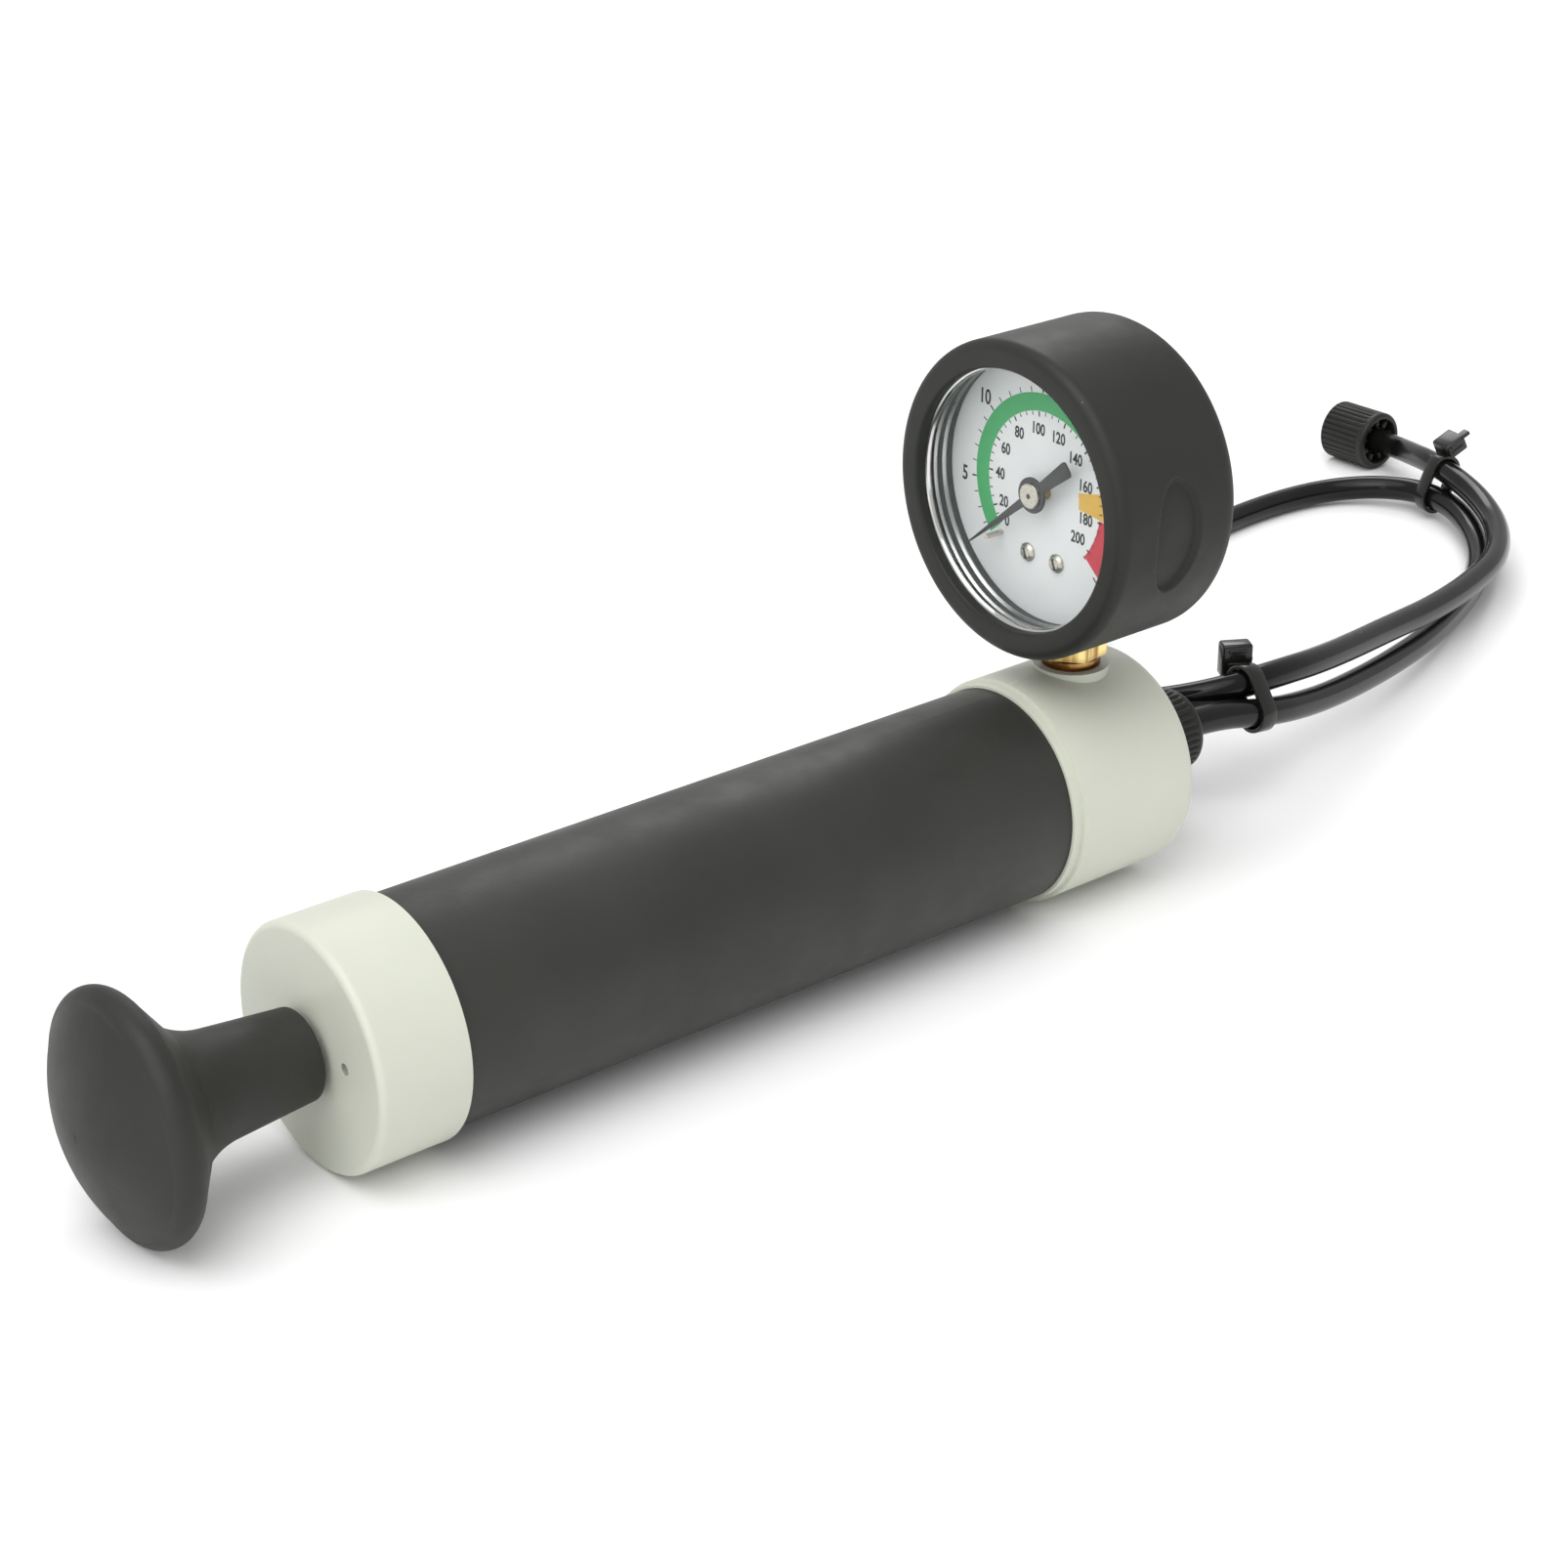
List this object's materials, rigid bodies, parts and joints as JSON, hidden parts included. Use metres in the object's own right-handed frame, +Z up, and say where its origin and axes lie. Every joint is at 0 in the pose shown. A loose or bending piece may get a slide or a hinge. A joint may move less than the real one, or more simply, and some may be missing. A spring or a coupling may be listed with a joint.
{
  "type": "radiator pressure tester",
  "caption": "Hand pump with end caps, a knobbed pull handle, an upright booted dial gauge and a looped rubber test hose ending in a ribbed screw nut.",
  "frame": {"origin": "on the floor under the middle of the pump, measured from the front of the handle knob to the hose end of the outlet nut, in the pump's upright middle plane", "axes": "+X along the pump from the handle to the hose outlet, +Z up through the gauge, +Y to the side where the hose loop lies"},
  "size_m": [0.5343, 0.191, 0.1333],
  "materials": {
    "black_plastic": "satin",
    "pale_plastic": "satin",
    "black_rubber": "matte",
    "steel": "brushed",
    "brass": "machined",
    "bezel_metal": "polished",
    "clear_lens": "clear",
    "dial_face": "satin",
    "pointer_black": "satin",
    "acetal": "satin",
    "hose_rubber": "gloss",
    "tie_nylon": "satin",
    "alloy": "machined"
  },
  "bodies": {
    "pump": {"barrel": "black_plastic", "handle_end_cap": "pale_plastic", "rod_guide_bush": "acetal", "outlet_end_cap": "pale_plastic", "check_valve_seat": "brass", "check_valve_spring": "steel", "gauge_boot": "black_rubber", "gauge_case": "steel", "gauge_bezel": "bezel_metal", "gauge_lens": "clear_lens", "dial_spacer_ring": "bezel_metal", "gauge_dial": "dial_face", "dial_screws": "brass", "zero_stop_pin": "pointer_black", "gauge_stem": "brass", "stem_seal_washer": "black_rubber", "bourdon_tube": "brass", "bourdon_tube_tip": "brass", "movement_front_plate": "brass", "movement_back_plate": "brass", "movement_pillars": "brass", "sector_staff": "steel", "hair_spring": "brass", "hose_barb": "brass", "outlet_nut": "black_plastic", "test_hose": "hose_rubber", "end_tail": "brass", "end_washer": "black_rubber", "hose_tie_near": "tie_nylon", "hose_tie_far": "tie_nylon"},
    "plunger": {"plunger_handle": "black_plastic", "piston_rod": "steel", "piston_front_plate": "acetal", "piston_cup_seal": "black_rubber", "piston_spreader": "acetal", "piston_back_plate": "alloy", "piston_lock_nut": "steel"},
    "pointer": {"gauge_pointer": "pointer_black", "pointer_cap": "pointer_black", "pinion_arbor": "brass"},
    "sector": {"sector_gear": "brass"},
    "link": {"movement_link": "brass"},
    "check_ball": {"check_valve_ball": "steel"},
    "end_nut": {"end_nut": "black_plastic"}
  },
  "joints": [
    {"name": "plunger", "type": "slide", "parent": "pump", "child": "plunger", "axis": [-1, 0, 0], "range_m": [0, 0.135]},
    {"name": "pointer", "type": "hinge", "parent": "pump", "child": "pointer", "pos_m": [0.08835, 0, 0.0971], "axis": [1, 0, 0], "range_deg": [0, 258], "stiffness_Nm_per_rad": 0.0002, "springref_deg": -11.46},
    {"name": "sector", "type": "hinge", "parent": "pump", "child": "sector", "pos_m": [0.08835, 0, 0.0813], "axis": [1, 0, 0], "range_deg": [-32.5, 0.1]},
    {"name": "link", "type": "hinge", "parent": "sector", "child": "link", "pos_m": [0.08835, -0.00576, 0.07963], "axis": [1, 0, 0], "range_deg": [-0.1, 32.5]},
    {"name": "check_valve", "type": "slide", "parent": "pump", "child": "check_ball", "axis": [1, 0, 0], "range_m": [0, 0.001], "stiffness_N_per_m": 60, "deforming": ["check_valve_spring"]},
    {"name": "end_nut", "type": "hinge", "parent": "pump", "child": "end_nut", "pos_m": [0.37905, 0.1455, 0.009], "axis": [0, 0.9999, -0.0143], "continuous": true}
  ],
  "couplings": [
    {"joint": "sector", "follows": "pointer", "ratio": -0.125},
    {"joint": "link", "follows": "pointer", "ratio": 0.125}
  ]
}
